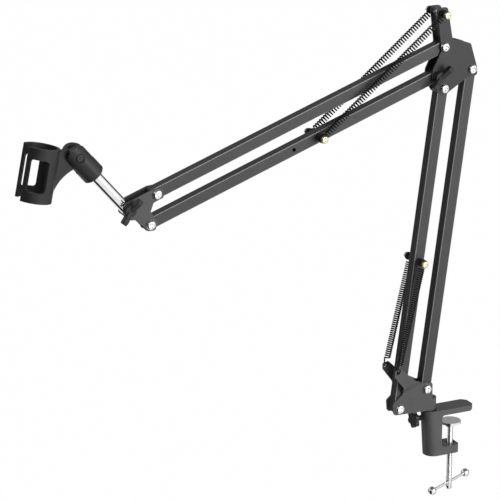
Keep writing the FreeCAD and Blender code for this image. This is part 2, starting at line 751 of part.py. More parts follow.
elbow_corners = ear_corners(elbow_centres, elbow_shares)
elbow_holes = [elbow_centres[key] + (pivot_hole,) for key in ("right", "left", "top", "hinge")]
elbow_holes.append(elbow_centres["tab"] + (spring_hole,))
elbow_front_plate = prism("elbow_front_plate", elbow_corners, "sizes.sheet_thickness", "sizes.plate_corner",
                          (), elbow_holes)
elbow_front_plate.Placement = placed(elbow_right - away * plate_middle)
elbow_rear_plate = prism("elbow_rear_plate", elbow_corners, "sizes.sheet_thickness", "sizes.plate_corner",
                         (), elbow_holes)
elbow_rear_plate.Placement = placed(elbow_right + away * plate_middle)
elbow_bolts = pivot_bolts("elbow_bolts", (elbow_right, elbow_left, elbow_top))
elbow_nuts = pivot_nuts("elbow_nuts", (elbow_right, elbow_left, elbow_top))

# Head: two plates that hold the upper bars' far ends and the tilting tube.
head_centres = {
    "top": ("0", "0"),
    "bottom": ("-sizes.upper_link_run", "-sizes.upper_link_drop"),
    "hinge": ("-sizes.head_reach", "-sizes.head_drop"),
}
head_shares = (
    ("hinge", -0.65, "hinge", 0.3),
    ("hinge", -0.2, "hinge", 1),
    ("top", -0.7, "top", 0.72),
    ("top", 0.75, "top", 0.85),
    ("top", 1, "top", -0.55),
    ("top", -0.55, "top", -1.15),
    ("bottom", 0, "top", -2.4),
    ("bottom", 0.5, "bottom", 1.05),
    ("bottom", 1.1, "bottom", 0.3),
    ("bottom", 0.65, "bottom", -0.85),
    ("bottom", -0.4, "bottom", -0.9),
    ("bottom", -1.05, "bottom", -0.1),
    ("hinge", 1.15, "hinge", -1.6),
    ("hinge", 0.3, "hinge", -1.55),
    ("hinge", -0.6, "hinge", -0.8),
)
head_corners = ear_corners(head_centres, head_shares)
head_holes = [head_centres[key] + (pivot_hole,) for key in ("top", "bottom", "hinge")]
head_front_plate = prism("head_front_plate", head_corners, "sizes.sheet_thickness", "sizes.head_corner",
                         (), head_holes)
head_front_plate.Placement = placed(head_top - away * plate_middle)
head_rear_plate = prism("head_rear_plate", head_corners, "sizes.sheet_thickness", "sizes.head_corner",
                        (), head_holes)
head_rear_plate.Placement = placed(head_top + away * plate_middle)
head_bolts = pivot_bolts("head_bolts", (head_top, head_bottom))
head_nuts = pivot_nuts("head_nuts", (head_top, head_bottom))


# Spring bolts: each carries a pair of spools, outside its bar or plates, that the springs' loops ride on.
def spring_anchor(name, point, foot):
    foot_size = "sizes.bar_size / 2" if foot == "bar" else "(%s) / 2" % pivot_span
    length = "sizes.spring_line + sizes.spool_neck_width / 2 + sizes.spool_rim"
    bore = "sizes.spring_bolt / 2 + sizes.fit_gap"
    neck = "sizes.spring_line - sizes.spool_neck_width / 2"
    rim = "sizes.spring_line + sizes.spool_neck_width / 2"
    corners = ((bore, foot_size), ("sizes.spool_flange / 2", foot_size), ("sizes.spool_flange / 2", neck),
               ("sizes.spool_neck / 2", neck), ("sizes.spool_neck / 2", rim), ("sizes.spool_flange / 2", rim),
               ("sizes.spool_flange / 2", length), (bore, length))
    spools = [spun(name + "_spool_front", corners, placed(point, to_front)),
              spun(name + "_spool_rear", corners, placed(point, to_rear))]
    spool_end = sizes.spring_line + sizes.spool_neck_width / 2 + sizes.spool_rim
    shank = "2 * (%s) + sizes.spring_nut_height + sizes.thread_end" % length
    screw = bolt(name + "_bolt", spring_kind, shank, placed(front_at(point, spool_end), to_rear))
    lock = nut(name + "_nut", "sizes.spring_nut", "sizes.spring_nut_height", "sizes.spring_bolt",
               placed(front_at(point, -spool_end), to_rear))
    return gathered(name + "_spools", spools), screw, lock


lower_spring_set = spring_anchor("lower_spring", lower_spring_end, "bar")
upper_spring_set = spring_anchor("upper_spring", upper_spring_end, "bar")
elbow_spring_set = spring_anchor("elbow_spring", elbow_tab, "plates")
elbow_spacer = spun("elbow_spacer", (
    ("sizes.spring_bolt / 2 + sizes.fit_gap", "-sizes.bar_size / 2 - sizes.side_gap"),
    ("sizes.spacer_diameter / 2", "-sizes.bar_size / 2 - sizes.side_gap"),
    ("sizes.spacer_diameter / 2", "sizes.bar_size / 2 + sizes.side_gap"),
    ("sizes.spring_bolt / 2 + sizes.fit_gap", "sizes.bar_size / 2 + sizes.side_gap")),
    placed(elbow_tab, to_rear))


# Balance springs: one unbroken wire each, wound in half turns of two arcs, with a loop at both ends.
def arc_from(start, control, end):
    middle = (start + end) * 0.5
    angle = (control - start).getAngle(end - start)
    share = math.tan(angle / 2) / math.tan(angle)
    return Part.Arc(start, middle + (control - middle) * share, end).toShape()


def biarc(start, start_way, end, end_way):
    span = end - start
    slack = 2 * (1 - start_way.dot(end_way))
    pull = span.dot(start_way + end_way)
    reach = (math.sqrt(pull * pull + slack * span.dot(span)) - pull) / slack
    first = start + start_way * reach
    last = end - end_way * reach
    joint = (first + last) * 0.5
    return [arc_from(start, first, joint), arc_from(joint, last, end)]


# points along the wire at which its nearest approach to itself is measured
spring_points = 1200


def spring(name, start, end, turns, start_hooked):
    # Local axes: along the spring, across it in the arm's plane, and away from the viewer. A hooked start
    # passes through a tab, so its loop stands across the arm's plane and its lowest point is in the hole.
    along = (end - start).normalize()
    across = away.cross(along)
    radius = sizes.spring_radius
    bend = sizes.loop_radius
    stub = sizes.wire_diameter

    def at(distance, offset, depth):
        return start + along * distance + across * offset + away * depth

    length = (end - start).Length
    loop_middle = bend if start_hooked else 0
    side = away if start_hooked else across
    coil_start = loop_middle + sizes.loop_reach
    coil_end = length - sizes.loop_reach
    start_angle = math.pi if start_hooked else math.pi / 2
    end_angle = math.tau * turns - math.pi / 2
    halves = max(2, round((end_angle - start_angle) / math.pi))
    step = (end_angle - start_angle) / halves
    climb = (coil_end - coil_start) / (end_angle - start_angle)

    def coil_point(angle):
        distance = coil_start + climb * (angle - start_angle)
        return at(distance, radius * math.cos(angle), radius * math.sin(angle))

    def coil_way(angle):
        sideways = across * (-radius * math.sin(angle)) + away * (radius * math.cos(angle))
        return (sideways + along * climb).normalize()

    centre = at(loop_middle, 0, 0)
    enter = centre + side * bend
    leave = centre - side * bend
    edges = [Part.LineSegment(leave + along * stub, leave).toShape(),
             Part.Arc(leave, centre - along * bend, enter).toShape()]
    edges += biarc(enter, along, coil_point(start_angle), coil_way(start_angle))
    for index in range(halves):
        first = start_angle + step * index
        last = first + step
        edges += biarc(coil_point(first), coil_way(first), coil_point(last), coil_way(last))
    far_enter = at(length, bend, 0)
    far_leave = at(length, -bend, 0)
    edges += biarc(coil_point(end_angle), coil_way(end_angle), far_enter, along)
    edges += [Part.Arc(far_enter, at(length + bend, 0, 0), far_leave).toShape(),
              Part.LineSegment(far_leave, far_leave - along * stub).toShape()]
    path = Part.Wire(edges)
    ring = Part.Circle(leave + along * stub, along, stub / 2).toShape()
    wire = path.makePipeShell([Part.Wire(ring)], True, False)
    piece = doc.addObject("Part::Feature", name)
    piece.Shape = wire
    points = path.discretize(Number=spring_points)
    spacing = path.Length / len(points)
    skip = math.ceil(math.pi * stub / spacing)
    gap = min((points[i] - points[j]).Length for i in range(0, len(points), 2)
              for j in range(i + skip, len(points), 2)) - stub
    print("%s: least gap to itself %.2f" % (name, gap))
    return piece


front_line = away * -sizes.spring_line
rear_line = away * sizes.spring_line
lower_spring_front = spring("lower_spring_front", hook + front_line, lower_spring_end + front_line,
                            sizes.lower_spring_turns, True)
lower_spring_rear = spring("lower_spring_rear", hook + rear_line, lower_spring_end + rear_line,
                           sizes.lower_spring_turns, True)
upper_spring_front = spring("upper_spring_front", elbow_tab + front_line, upper_spring_end + front_line,
                            sizes.upper_spring_turns, False)
upper_spring_rear = spring("upper_spring_rear", elbow_tab + rear_line, upper_spring_end + rear_line,
                           sizes.upper_spring_turns, False)


# Wing knobs at the elbow and the head, each moulded on a bolt that runs through both plates to a nut. The
# two wings rise toward the viewer as they leave the hub.
def wing_knob(name, point, angle):
    wing_end = "sizes.wing_length / 2"
    crest = wing_end + " - sizes.wing_crest"
    wings = prism(name + "_wings", (
        ("-" + wing_end, "sizes.wing_depth"), ("-(%s)" % crest, "sizes.wing_depth"),
        ("0", "sizes.knob_hub_height"), (crest, "sizes.wing_depth"), (wing_end, "sizes.wing_depth"),
        (wing_end, "sizes.wing_lift"), ("0", "sizes.wing_root"), ("-" + wing_end, "sizes.wing_lift")),
        "sizes.wing_thickness", "sizes.wing_corner", (2, 6))
    cheek = sizes.wing_thickness / 2
    dress(wings, "Fillet", wings.Tip, "sizes.wing_edge",
          lambda edge: edge.BoundBox.YLength < sizes.match and near(abs(edge.Vertexes[0].Y), cheek))
    foot = plate_face + sizes.knob_washer
    wing_way = tilted(-angle).multVec(right)
    wing_turn = FreeCAD.Rotation(wing_way, wing_way.cross(away), -away, "XYZ")
    wings.Placement = placed(front_at(point, foot), wing_turn)
    hub_side = "sizes.knob_hub / 2"
    hub = spun(name + "_hub", (
        ("0", "0"), (hub_side, "0"), (hub_side, "sizes.wing_root"),
        (hub_side + " - sizes.wing_edge", "sizes.knob_hub_height"), ("0", "sizes.knob_hub_height")),
        placed(front_at(point, foot), to_front))
    bore_foot = front_at(point, foot - sizes.overrun)
    bore = rod(name + "_bore", pivot_hole, "sizes.knob_bolt_sink + sizes.overrun",
               placed(bore_foot, to_front))
    knob = cut(name, joined(name + "_moulding", [hub, wings]), bore)
    stud_start = front_at(point, foot + sizes.knob_bolt_sink)
    stud_length = "sizes.knob_bolt_sink + sizes.knob_washer + " + pivot_shank
    stud = rod(name + "_stud", "sizes.pivot_diameter", stud_length, placed(stud_start, to_rear))
    washer = spun(name + "_washer", (
        ("sizes.pivot_diameter / 2 + sizes.fit_gap", "0"), ("sizes.knob_washer_diameter / 2", "0"),
        ("sizes.knob_washer_diameter / 2", "sizes.knob_washer"),
        ("sizes.pivot_diameter / 2 + sizes.fit_gap", "sizes.knob_washer")),
        placed(front_at(point, plate_face), to_front))
    lock = nut(name + "_nut", "sizes.pivot_nut", "sizes.pivot_nut_height", "sizes.pivot_diameter",
               placed(front_at(point, -plate_face), to_rear))
    return knob, stud, washer, lock


elbow_knob_set = wing_knob("elbow_knob", elbow_hinge, sizes.elbow_wing_angle)
head_knob_set = wing_knob("head_knob", head_hinge, sizes.head_wing_angle)

# Swivel tube: drilled through its rounded foot for the head's knob bolt, threaded sleeve at its far end.
tube_way = spot(-math.cos(math.radians(sizes.tube_angle)), 0, math.sin(math.radians(sizes.tube_angle)))
tube_turn = FreeCAD.Rotation(away.cross(tube_way), away, tube_way, "XYZ")
tube_length = "sizes.tube_reach - sizes.barrel_drop + sizes.insert_length"
tube_side = "sizes.tube_diameter / 2"
tube_edge = tube_side + " + sizes.fit_gap"
tube_blank = rod("tube_blank", "sizes.tube_diameter", tube_length, placed(head_hinge, tube_turn))
tube_foot = doc.addObject("Part::Sphere", "tube_foot")
tube_foot.setExpression("Radius", tube_side)
tube_foot.Placement = placed(head_hinge, tube_turn)
tube_hole = rod("tube_hole", pivot_hole, "2 * sizes.barrel_diameter",
                placed(head_hinge - away * sizes.barrel_diameter, to_rear))
tube_hollow = rod("tube_hollow", "sizes.tube_bore", tube_length,
                  placed(head_hinge + tube_way * sizes.tube_floor, tube_turn))
swivel_tube = cut("swivel_tube", joined("tube_solid", [tube_blank, tube_foot]),
                  joined("tube_tools", [tube_hole, tube_hollow]))
clip_pivot = head_hinge + tube_way * sizes.tube_reach
mouth_place = placed(clip_pivot - tube_way * sizes.barrel_drop, tube_turn)
# the tube's adapter, the barrel's insert and its wall share the room round the tube
sleeve_room = "(sizes.barrel_diameter - sizes.tube_diameter) / 2"
adapter_share = 0.298
insert_share = 0.596
thread_edge = "%s + %s * %s" % (tube_side, adapter_share, sleeve_room)
thread_clear = thread_edge + " + sizes.fit_gap"
insert_edge = "%s + %s * %s" % (tube_side, insert_share, sleeve_room)
thread_adapter = spun("thread_adapter", (
    (tube_edge, "sizes.side_gap"), (thread_edge, "sizes.side_gap"),
    (thread_edge, "sizes.insert_length"), (tube_edge, "sizes.insert_length")), mouth_place)
thread_insert = spun("thread_insert", (
    (thread_clear, "0"), (insert_edge, "0"),
    (insert_edge, "sizes.insert_length"), (thread_clear, "sizes.insert_length")), mouth_place)

# Clip barrel: a moulded sleeve with a round-ended fork for the clip's ear.
barrel_end = "sizes.barrel_drop + sizes.barrel_diameter / 2"
barrel_side = "sizes.barrel_diameter / 2"
barrel_rod = spun("barrel_rod", (
    ("0", "0"), (barrel_side + " - sizes.barrel_edge", "0"), (barrel_side, "sizes.barrel_edge"),
    (barrel_side, barrel_end), ("0", barrel_end)), mouth_place)
shank_corner = spot(-sizes.barrel_diameter / 2, -sizes.barrel_diameter / 2, 0)
barrel_shank = block("barrel_shank", "sizes.barrel_diameter", "sizes.barrel_diameter", "sizes.barrel_drop",
                     placed(mouth_place.multVec(shank_corner), tube_turn))
barrel_round = rod("barrel_round", "sizes.barrel_diameter", "sizes.barrel_diameter",
                   placed(clip_pivot - away * (sizes.barrel_diameter / 2), to_rear))
barrel_blank = common("barrel_blank", barrel_rod, joined("barrel_profile", [barrel_shank, barrel_round]))
fork_corner = spot(-sizes.barrel_diameter, -sizes.fork_width / 2, sizes.barrel_drop - sizes.fork_depth)
fork_gap = block("fork_gap", "2 * sizes.barrel_diameter", "sizes.fork_width", "2 * sizes.barrel_diameter",
                 placed(mouth_place.multVec(fork_corner), tube_turn))
insert_bore = rod("insert_bore", "2 * (%s + sizes.fit_gap)" % insert_edge,
                  "sizes.insert_length + sizes.side_gap + sizes.overrun",
                  placed(mouth_place.multVec(up * -sizes.overrun), tube_turn))
clip_bore = rod("clip_bore", "sizes.clip_bolt + 2 * sizes.fit_gap", "2 * sizes.barrel_diameter",
                placed(clip_pivot - away * sizes.barrel_diameter, to_rear))
clip_seat = away * (sizes.barrel_diameter / 2 - sizes.clip_seat_depth)
head_seat = rod("head_seat", "sizes.clip_bolt_head + 2 * sizes.side_gap", "sizes.barrel_diameter",
                placed(clip_pivot - clip_seat, to_front))
nut_seat = rod("nut_seat", "sizes.clip_bolt_head + 2 * sizes.side_gap", "sizes.barrel_diameter",
               placed(clip_pivot + clip_seat, to_rear))
barrel_tools = joined("barrel_tools", [fork_gap, insert_bore, clip_bore, head_seat, nut_seat])
clip_barrel = cut("clip_barrel", barrel_blank, barrel_tools)
clip_shank = "sizes.barrel_diameter - 2 * sizes.clip_seat_depth + sizes.clip_nut_height"
clip_screw = bolt("clip_screw", clip_kind, clip_shank, placed(clip_pivot - clip_seat, to_rear), False)
clip_lock = nut("clip_nut", "sizes.clip_nut", "sizes.clip_nut_height", "sizes.clip_bolt",
                placed(clip_pivot + clip_seat, to_rear))

# Microphone clip: an open ring with a window in each jaw, carried by a curved web that ends in an ear. The
# ring's mouth faces a little away from the arm's plane.
clip_turn = tilted(sizes.clip_lean)
pin_from_ring = spot(sizes.clip_pin_run, 0, sizes.clip_pin_rise)
clip_place = placed(clip_pivot - clip_turn.multVec(pin_from_ring), clip_turn)


def in_clip(x, y, z, rotation=level):
    return clip_place.multiply(placed(spot(x, y, z), rotation))


low_end = -sizes.clip_length / 2
ring_solid = rod("ring_solid", "sizes.clip_diameter", "sizes.clip_length", in_clip(0, 0, low_end))
web_root = "sizes.clip_diameter / 2 - sizes.clip_wall / 2"
web = prism("clip_web", (
    (web_root, "sizes.web_top"), ("sizes.clip_pin_run", "sizes.clip_pin_rise + sizes.ear_diameter / 2"),
    ("sizes.clip_pin_run", "-sizes.web_bottom"), (web_root, "-sizes.web_bottom")),
    "sizes.ear_thickness", "sizes.plate_corner", (0, 1, 2, 3))
web.Placement = clip_place
web_arc = rod("web_arc", "2 * sizes.web_arc_radius", "2 * sizes.ear_thickness",
              in_clip(sizes.web_arc_run, -sizes.ear_thickness, -sizes.web_arc_drop, to_rear))
ear = rod("clip_ear", "sizes.ear_diameter", "sizes.ear_thickness",
          in_clip(sizes.clip_pin_run, -sizes.ear_thickness / 2, sizes.clip_pin_rise, to_rear))
clip_solid = joined("clip_solid", [ring_solid, cut("clip_arm", web, web_arc), ear])
ring_length = "sizes.clip_length + 2 * sizes.overrun"
ring_bore = rod("ring_bore", "sizes.clip_diameter - 2 * sizes.clip_wall", ring_length,
                in_clip(0, 0, low_end - sizes.overrun))
ring_outside = "sizes.clip_diameter / 2 + sizes.overrun"
ring_half = "sizes.clip_length / 2 + sizes.overrun"


def round_ring(degrees):
    return in_clip(0, 0, 0, FreeCAD.Rotation(up, degrees))


mouth_heading = math.degrees(math.pi) - sizes.clip_twist
mouth = spun("clip_mouth", (
    ("0", "-(%s)" % ring_half), (ring_outside, "-(%s)" % ring_half), (ring_outside, ring_half),
    ("0", ring_half)), round_ring(mouth_heading), "sizes.mouth_angle")
window_root = "sizes.clip_diameter / 4"
windows = []
for side, outward in (("front", 1), ("rear", -1)):
    opening = spun("clip_window_" + side, (
        (window_root, "-sizes.window_bottom"), (ring_outside, "-sizes.window_bottom"),
        (ring_outside, "sizes.window_top"), (window_root, "sizes.window_top")), level_placement,
        "sizes.window_angle")
    dress(opening, "Fillet", opening.Tip, "sizes.window_corner",
          lambda edge: edge.Curve.TypeId == "Part::GeomLine" and edge.BoundBox.ZLength < sizes.match)
    opening.Placement = round_ring(mouth_heading + outward * sizes.window_place)
    windows.append(opening)
ear_bore = rod("ear_bore", "sizes.clip_bolt + 2 * sizes.fit_gap", "2 * sizes.ear_thickness",
               in_clip(sizes.clip_pin_run, -sizes.ear_thickness, sizes.clip_pin_rise, to_rear))
clip_body = cut("clip_body", clip_solid, joined("clip_tools", [ring_bore, mouth, ear_bore] + windows))

# Every piece is checked, then written under its own name.
nodes = [clamp_body, pressure_disc, clamp_screw, tommy_bar, tommy_balls, lock_screw, lock_knob, swivel_washer,
         base_pin, base_bracket, base_bolts, base_nuts, lower_right_bar, lower_left_bar, upper_top_bar,
         upper_bottom_bar, elbow_front_plate, elbow_rear_plate, elbow_bolts, elbow_nuts, elbow_spacer,
         head_front_plate, head_rear_plate, head_bolts, head_nuts, lower_spring_front, lower_spring_rear,
         upper_spring_front, upper_spring_rear, swivel_tube, thread_adapter, thread_insert, clip_barrel,
         clip_screw, clip_lock, clip_body]
for group in (lower_spring_set, upper_spring_set, elbow_spring_set, elbow_knob_set, head_knob_set):
    nodes += group
doc.recompute()
for piece in doc.Objects:
    if "Invalid" in piece.State or "Error" in piece.State:
        raise RuntimeError("%s did not rebuild: %s" % (piece.Name, piece.State))
os.makedirs("parts", exist_ok=True)
for piece in nodes:
    shape = piece.Shape
    if shape.isNull() or not shape.isValid() or not shape.Solids:
        raise RuntimeError("%s has no sound solid" % piece.Label)
    shape.exportStep("parts/%s.step" % piece.Label)
    print("%s: %d solids, %.1f mm3" % (piece.Label, len(shape.Solids), shape.Volume))
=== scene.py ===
import json
import math
import bmesh
import bpy
from mathutils import Matrix, Vector


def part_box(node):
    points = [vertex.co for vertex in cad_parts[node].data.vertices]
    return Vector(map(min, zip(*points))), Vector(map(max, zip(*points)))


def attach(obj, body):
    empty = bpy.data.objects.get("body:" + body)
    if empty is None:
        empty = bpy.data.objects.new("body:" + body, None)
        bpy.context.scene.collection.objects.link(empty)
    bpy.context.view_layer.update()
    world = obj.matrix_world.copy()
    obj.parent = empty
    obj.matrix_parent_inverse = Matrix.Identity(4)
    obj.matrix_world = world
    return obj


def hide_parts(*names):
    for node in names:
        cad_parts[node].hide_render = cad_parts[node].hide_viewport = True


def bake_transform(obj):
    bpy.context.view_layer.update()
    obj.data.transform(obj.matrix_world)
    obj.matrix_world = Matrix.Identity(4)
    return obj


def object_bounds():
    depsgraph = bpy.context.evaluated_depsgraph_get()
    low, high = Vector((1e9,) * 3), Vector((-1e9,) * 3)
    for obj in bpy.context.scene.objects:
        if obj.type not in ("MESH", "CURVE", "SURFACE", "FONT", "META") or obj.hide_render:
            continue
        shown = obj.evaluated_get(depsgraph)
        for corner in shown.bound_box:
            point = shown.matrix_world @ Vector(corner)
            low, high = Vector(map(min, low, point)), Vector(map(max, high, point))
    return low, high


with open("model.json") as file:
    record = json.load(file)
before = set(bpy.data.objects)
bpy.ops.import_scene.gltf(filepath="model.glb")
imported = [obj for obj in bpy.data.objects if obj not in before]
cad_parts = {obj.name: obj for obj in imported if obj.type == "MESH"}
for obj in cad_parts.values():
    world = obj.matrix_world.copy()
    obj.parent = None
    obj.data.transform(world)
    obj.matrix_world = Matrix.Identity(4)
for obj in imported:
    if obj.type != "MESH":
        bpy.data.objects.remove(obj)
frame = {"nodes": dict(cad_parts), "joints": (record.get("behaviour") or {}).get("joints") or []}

cad_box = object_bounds()

# Desk clamp: a die-cast C of black powder-coated zinc alloy, its column bored for the arm's swivel pin.
# The coat has a fine orange-peel skin and softens every corner. Its edges are painted paler, partly as
# rubbed-thin coat and partly as a painted highlight where the rounded edges catch the light.
cloud_low = 0.3
cloud_high = 0.7
edge_highlight_reach = 0.0006
edge_highlight_begins = 0.985
edge_highlight_full = 0.8


def node_in(tree, kind, inputs, **settings):
    # Adds one node with its settings, and links or sets each input that is given.
    node = tree.nodes.new(kind)
    for name, value in settings.items():
        setattr(node, name, value)
    for socket, value in inputs.items():
        if isinstance(value, bpy.types.NodeSocket):
            tree.links.new(value, node.inputs[socket])
        else:
            node.inputs[socket].default_value = value
    return node.outputs


def new_finish(name):
    finish = bpy.data.materials.new(name)
    finish.use_nodes = True
    return finish, finish.node_tree, finish.node_tree.nodes["Principled BSDF"]


def cloud(tree, scale, detail, stretch=(1, 1, 1)):
    place = node_in(tree, "ShaderNodeTexCoord", {})["Object"]
    stretched = node_in(tree, "ShaderNodeMapping", {"Vector": place, "Scale": stretch})["Vector"]
    noise = {"Vector": stretched, "Scale": scale, "Detail": detail}
    return node_in(tree, "ShaderNodeTexNoise", noise)["Fac"]


def ramped(tree, value, begin, full, low=0, high=1):
    limits = {"Value": value, "From Min": begin, "From Max": full, "To Min": low, "To Max": high}
    return node_in(tree, "ShaderNodeMapRange", limits)["Result"]


def mottled(tree, scale, detail, low=0, high=1):
    return ramped(tree, cloud(tree, scale, detail), cloud_low, cloud_high, low, high)


def tint(tree, share, first, second):
    return node_in(tree, "ShaderNodeMix", {0: share, 6: first, 7: second}, data_type="RGBA")[2]


def skin(tree, shader, height, strength, depth):
    bump = node_in(tree, "ShaderNodeBump", {"Height": height, "Strength": strength, "Distance": depth})
    tree.links.new(bump["Normal"], shader.inputs["Normal"])


def edge_wear_and_highlight(tree):
    # An edge is where the surface, rounded over a short reach, faces another way than the face itself; there
    # the colour is painted paler, a painted highlight and partly rubbed coat.
    rounded = node_in(tree, "ShaderNodeBevel", {"Radius": edge_highlight_reach}, samples=6)["Normal"]
    facing = node_in(tree, "ShaderNodeNewGeometry", {})["Normal"]
    both = {0: rounded, 1: facing}
    likeness = node_in(tree, "ShaderNodeVectorMath", both, operation="DOT_PRODUCT")["Value"]
    return ramped(tree, likeness, edge_highlight_begins, edge_highlight_full)


def coated(name, dark, pale, wear_and_highlight_colour, wear_and_highlight_mask, peel, rough):
    finish, tree, shader = new_finish(name)
    coat = tint(tree, mottled(tree, scale=60, detail=4), dark, pale)
    # The paler colour on the masked edges or corners is a painted highlight, and on edges also rubbed coat.
    tree.links.new(tint(tree, wear_and_highlight_mask(tree), coat, wear_and_highlight_colour), shader.inputs["Base Color"])
    gloss = mottled(tree, scale=240, detail=3, low=rough - 0.05, high=rough + 0.06)
    tree.links.new(gloss, shader.inputs["Roughness"])
    shader.inputs["Specular IOR Level"].default_value = 0.42
    skin(tree, shader, cloud(tree, scale=peel, detail=2), strength=0.16, depth=0.0003)
    return finish


def finish_nodes(finish, *names):
    for name in names:
        slots = frame["nodes"][name].data.materials
        slots.clear()
        slots.append(finish)


cast_coat = coated("cast_coat", dark=(0.090, 0.090, 0.093, 1), pale=(0.106, 0.106, 0.109, 1),
                   wear_and_highlight_colour=(0.170, 0.170, 0.175, 1), wear_and_highlight_mask=edge_wear_and_highlight, peel=620, rough=0.44)
finish_nodes(cast_coat, "clamp_body")

# Clamp screw: plated steel with a rolled thread, a loose bright disc that presses under the desk,
# and a sliding bar with a ball at each end to turn it. The thread stops short of the drilled foot.
screw_low, screw_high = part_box("clamp_screw")
screw_radius = -screw_low.x
screw_foot = screw_low.z
screw_chamfer = 0.0008
screw_pitch = 0.0015
thread_depth = 0.00075
thread_run_in = 0.0002
plain_foot = 0.0138
tip_radius = 0.0025
tip_length = 0.004
tip_shoulder = 0.0001
tip_top = screw_high.z
thread_foot = screw_foot + plain_foot
thread_top = tip_top - tip_length
bar_low, bar_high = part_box("tommy_bar")
bar_height = (bar_low.z + bar_high.z) / 2
bar_heading = math.radians(26)
bar_bore = 0.00155
drill_length = 0.012


def plated(name, bright, dull, rough, drawn):
    finish, tree, shader = new_finish(name)
    plate = tint(tree, mottled(tree, scale=180, detail=3), bright, dull)
    tree.links.new(plate, shader.inputs["Base Color"])
    shader.inputs["Metallic"].default_value = 1
    gloss = mottled(tree, scale=420, detail=2, low=rough, high=rough + 0.1)
    tree.links.new(gloss, shader.inputs["Roughness"])
    skin(tree, shader, cloud(tree, scale=900, detail=2, stretch=drawn), strength=0.04, depth=0.0002)
    return finish


def put(name, data):
    thing = bpy.data.objects.new(name, data)
    bpy.context.scene.collection.objects.link(thing)
    return thing


def mesh_of(name, shape):
    mesh = bpy.data.meshes.new(name)
    shape.to_mesh(mesh)
    shape.free()
    return mesh


def piece_from(name, points, faces, finish):
    mesh = bpy.data.meshes.new(name)
    mesh.from_pydata(points, [], faces)
    mesh.validate()
    mesh.polygons.foreach_set("use_smooth", [True] * len(mesh.polygons))
    mesh.materials.append(finish)
    return put(name, mesh)


def rings_between(rings, around):
    faces = []
    for row in range(rings - 1):
        for step in range(around):
            side = (step + 1) % around
            faces.append((row * around + step, row * around + side,
                          (row + 1) * around + side, (row + 1) * around + step))
    faces.append(tuple(reversed(range(around))))
    faces.append(tuple(range((rings - 1) * around, rings * around)))
    return faces


def threaded_rod(name, stations, radius, pitch, depth, thread_from, thread_to, place, finish):
    # The stations are the plain rod's heights and radii. Between the two thread heights the rows follow
    # the helix. Its crest and root are each a sixth of the pitch wide, and it fades out over its end turns.
    around = 28
    rows_per_turn = 8
    crest = 1 / 6
    rows = [(height, width, False) for height, width in stations]
    count = round((thread_to - thread_from) / pitch * rows_per_turn)
    for step in range(count + 1):
        rows.append((thread_from + (thread_to - thread_from) * step / count, radius, True))
    rows.sort(key=lambda row: row[0])
    points = []
    for height, width, cut in rows:
        for step in range(around):
            angle = math.tau * step / around
            reach = width
            if cut:
                phase = (height / pitch - step / around) % 1
                groove = min(1, max(0, (abs(2 * phase - 1) - crest) / (1 - 2 * crest)))
                run_out = min(1, (height - thread_from) / pitch, (thread_to - height) / pitch)
                reach -= depth * groove * run_out
            points.append(place @ Vector((reach * math.cos(angle), reach * math.sin(angle), height)))
    return piece_from(name, points, rings_between(len(rows), around), finish)


bright_plate = plated("bright_plate", bright=(0.86, 0.86, 0.87, 1), dull=(0.76, 0.76, 0.77, 1), rough=0.07,
                      drawn=(1, 1, 0.1))
screw_stations = ((screw_foot, screw_radius - screw_chamfer), (screw_foot + screw_chamfer, screw_radius),
                  (thread_foot - thread_run_in, screw_radius), (thread_top + tip_shoulder, tip_radius),
                  (tip_top, tip_radius))
clamp_thread = threaded_rod("clamp_thread", screw_stations, screw_radius, screw_pitch, thread_depth,
                            thread_foot, thread_top, Matrix.Identity(4), bright_plate)
drill_turn = Matrix.Rotation(bar_heading, 4, "Z") @ Matrix.Rotation(math.pi / 2, 4, "Y")
drill_shape = bmesh.new()
bmesh.ops.create_cone(drill_shape, cap_ends=True, segments=32, radius1=bar_bore, radius2=bar_bore,
                      depth=drill_length, matrix=Matrix.Translation((0, 0, bar_height)) @ drill_turn)
cross_drill = put("cross_drill", mesh_of("cross_drill", drill_shape))
cross_hole = clamp_thread.modifiers.new("cross_hole", "BOOLEAN")
cross_hole.operation = "DIFFERENCE"
cross_hole.object = cross_drill
bpy.context.view_layer.update()
drilled = clamp_thread.evaluated_get(bpy.context.evaluated_depsgraph_get())
drilled_mesh = bpy.data.meshes.new_from_object(drilled)
clamp_thread.modifiers.clear()
clamp_thread.data = drilled_mesh
bpy.data.objects.remove(cross_drill)
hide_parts("clamp_screw")
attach(clamp_thread, "screw")
finish_nodes(bright_plate, "pressure_disc", "tommy_bar", "tommy_balls")

# Lock screw: a short threaded stud through the column's side, moulded into a six-lobed black knob.
# It pinches the swivel pin, so that the arm can be set to one heading.
lock_low, lock_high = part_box("lock_screw")
lock_axis = (lock_low + lock_high) / 2
lock_radius = (lock_high.z - lock_low.z) / 2
lock_length = lock_high.x - lock_low.x
lock_pitch = 0.001
lock_thread_depth = 0.0005
lock_plain = 0.0035
lock_run_in = 0.0001
lock_point = 0.0007
lock_run_out = 0.0008


def moulded(name, dark, pale, grain, rough):
    finish, tree, shader = new_finish(name)
    plastic = tint(tree, mottled(tree, scale=90, detail=3), dark, pale)
    # The edges are painted paler: a painted highlight, and partly rubbed plastic.
    worn_and_highlit_edge = (0.085, 0.085, 0.088, 1)
    tree.links.new(tint(tree, edge_wear_and_highlight(tree), plastic, worn_and_highlit_edge), shader.inputs["Base Color"])
    gloss = mottled(tree, scale=300, detail=3, low=rough - 0.05, high=rough + 0.07)
    tree.links.new(gloss, shader.inputs["Roughness"])
    shader.inputs["Specular IOR Level"].default_value = 0.3
    skin(tree, shader, cloud(tree, scale=grain, detail=3), strength=0.22, depth=0.0002)
    return finish


